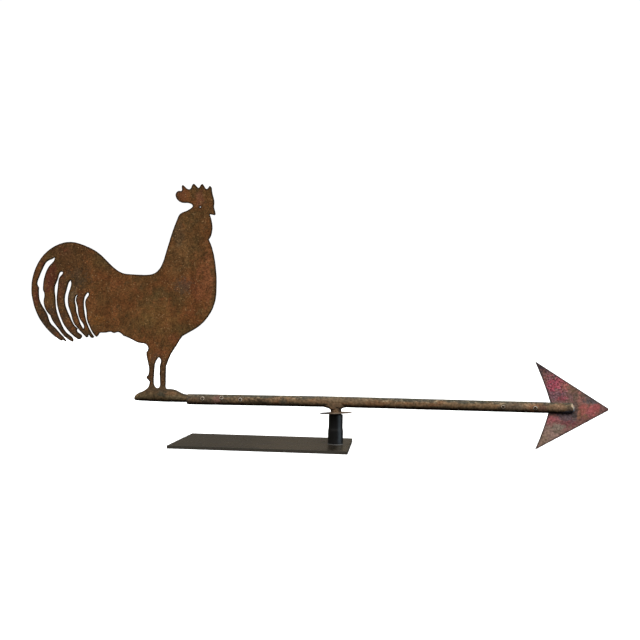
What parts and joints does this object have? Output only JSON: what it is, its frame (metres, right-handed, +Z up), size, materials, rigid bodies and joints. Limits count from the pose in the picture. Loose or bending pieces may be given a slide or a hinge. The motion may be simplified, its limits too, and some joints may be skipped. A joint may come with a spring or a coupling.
{
  "type": "weather vane",
  "caption": "Rusted sheet-metal cockerel on a long arrow pipe that turns on a short black post on a flat base plate.",
  "frame": {"origin": "on the vane's spin axis, at the underside of the base plate", "axes": "+X along the arrow pipe towards the arrow's point, -Y is the front with the rivet heads, +Z up along the spin axis"},
  "size_m": [1.1935, 0.203, 0.538],
  "materials": {
    "plate_black": "satin, handled",
    "post_black": "satin",
    "bright_steel": "turned",
    "bronze": "oiled",
    "pipe_patina": "weathered, tan and grey-green",
    "weld_rust": "lumpy, rusted",
    "shield_rust": "rusted",
    "core_metal": "worn bright",
    "arrow_paint": "remains of red paint on weathered metal",
    "rivet_metal": "dull",
    "mandrel_dark": "dark",
    "rooster_rust": "rust patina",
    "foot_patina": "weathered"
  },
  "bodies": {
    "stand": {"base_plate": "plate_black", "base_screw": "bright_steel", "foot_washer": "bright_steel", "post_tube": "post_black", "foot_plug": "bright_steel", "thrust_ball": "bright_steel", "lower_bush": "bronze", "upper_bush": "bronze"},
    "vane": {"pivot_stem": "bright_steel", "hub_stub": "pipe_patina", "hub_weld": "weld_rust", "rain_shield": "shield_rust", "shield_weld": "weld_rust", "arrow_pipe": "pipe_patina", "arrow_core": "core_metal", "arrowhead": "arrow_paint", "arrow_rivets": "rivet_metal", "arrow_rivet_mandrels": "mandrel_dark", "foot_rivets": "rivet_metal", "foot_rivet_mandrels": "mandrel_dark", "rooster": "rooster_rust", "foot_block": "foot_patina", "foot_braze": "foot_patina"}
  },
  "joints": [
    {"name": "vane_spin", "type": "hinge", "parent": "stand", "child": "vane", "pos_m": [0, 0, 0.0754], "axis": [0, 0, 1], "continuous": true}
  ]
}
